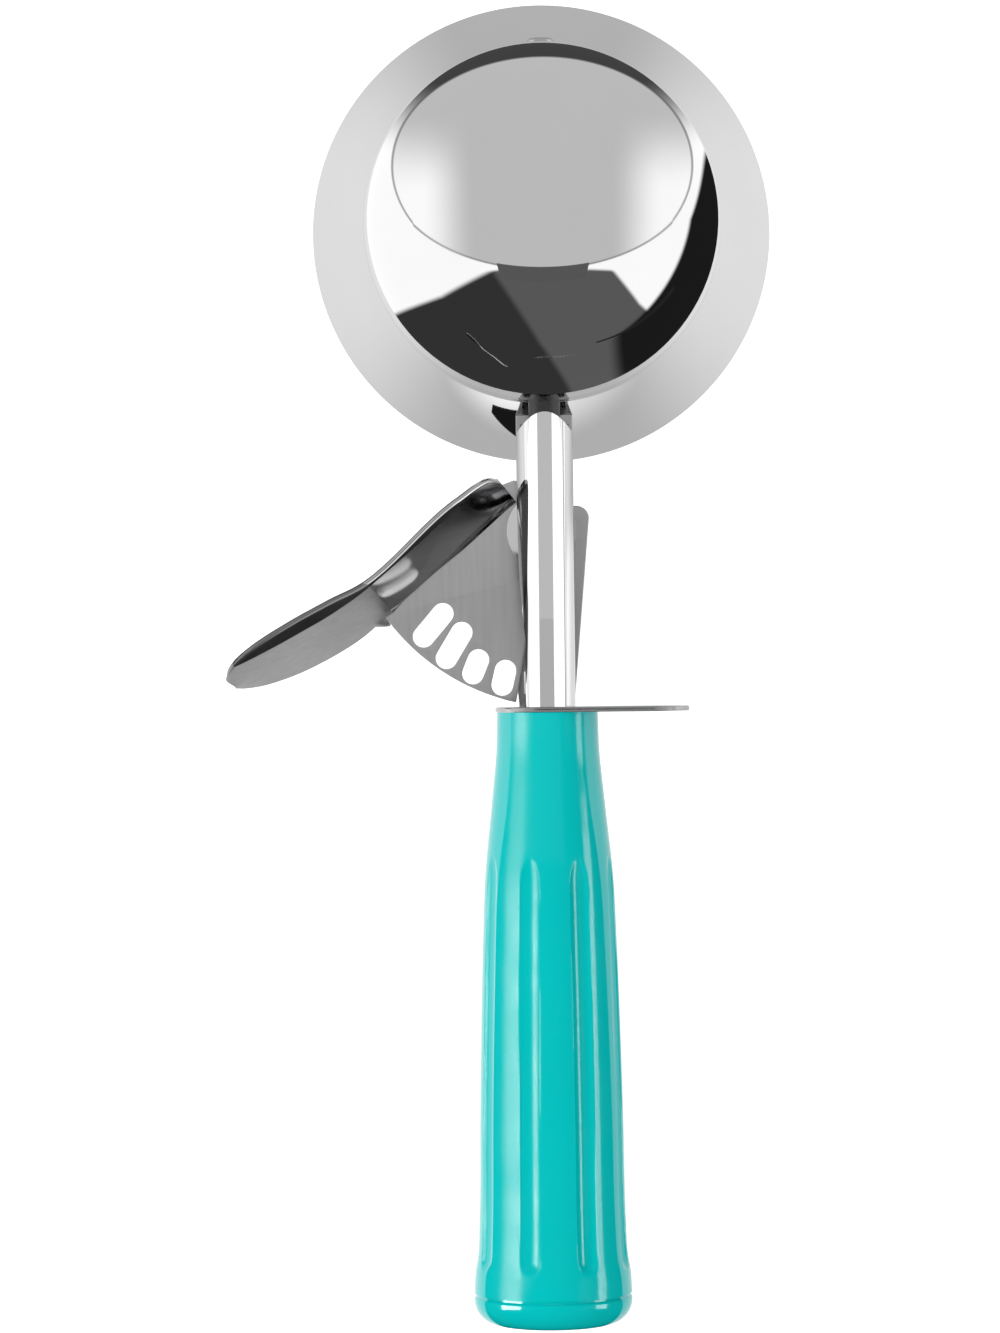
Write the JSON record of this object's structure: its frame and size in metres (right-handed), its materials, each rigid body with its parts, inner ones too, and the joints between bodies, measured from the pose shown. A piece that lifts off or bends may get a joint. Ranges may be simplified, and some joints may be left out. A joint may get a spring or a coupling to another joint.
{
  "type": "lever ice cream scoop",
  "caption": "Lever ice cream scoop: a domed steel bowl with a flared skirt, a thumb lever that turns an inner scraper blade, and a fluted teal handle.",
  "frame": {"origin": "centre of the bowl's mouth, in the plane of its rim", "axes": "+Z from the mouth into the dome, +Y from the handle to the bowl, +X to the side of the finger guard's tongue"},
  "size_m": [0.1073, 0.2542, 0.0567],
  "materials": {
    "chrome": "polished",
    "brushed_steel": "brushed",
    "plain_steel": "plain turned",
    "spring_steel": "drawn wire",
    "grip_plastic": "gloss"
  },
  "bodies": {
    "root": {"bowl": "chrome", "stem_cover": "chrome", "stem_plate": "brushed_steel", "finger_guard": "brushed_steel", "handle_grip": "grip_plastic", "end_cap": "grip_plastic", "handle_rod": "plain_steel", "tang_rivets": "plain_steel", "rod_nut": "plain_steel", "nut_washer": "plain_steel", "shaft_bushing": "plain_steel", "bushing_rivets": "plain_steel", "foot_bearing": "plain_steel", "pivot_rivet": "plain_steel", "pivot_washer": "plain_steel", "spacer_washer": "plain_steel", "far_pivot_pin": "plain_steel", "far_pivot_clip": "plain_steel", "far_pivot_washer": "plain_steel", "spring_anchor": "plain_steel"},
    "lever": {"thumb_lever": "brushed_steel"},
    "scraper": {"scraper_shaft": "plain_steel", "drive_pinion": "plain_steel", "pinion_pin": "plain_steel", "scraper_blade": "brushed_steel", "blade_hub": "plain_steel", "hub_pin": "plain_steel", "return_spring": "spring_steel"}
  },
  "joints": [
    {"name": "lever_press", "type": "hinge", "parent": "root", "child": "lever", "pos_m": [0, -0.0584, 0.0186], "axis": [0, 0, 1], "range_deg": [0, 25], "stiffness_Nm_per_rad": 0.3, "springref_deg": -20.05},
    {"name": "scraper_turn", "type": "hinge", "parent": "root", "child": "scraper", "pos_m": [0, 0, 0.0225], "axis": [0, 1, 0], "range_deg": [-159, 0]}
  ],
  "couplings": [
    {"joint": "scraper_turn", "follows": "lever_press", "ratio": -6.3436}
  ]
}
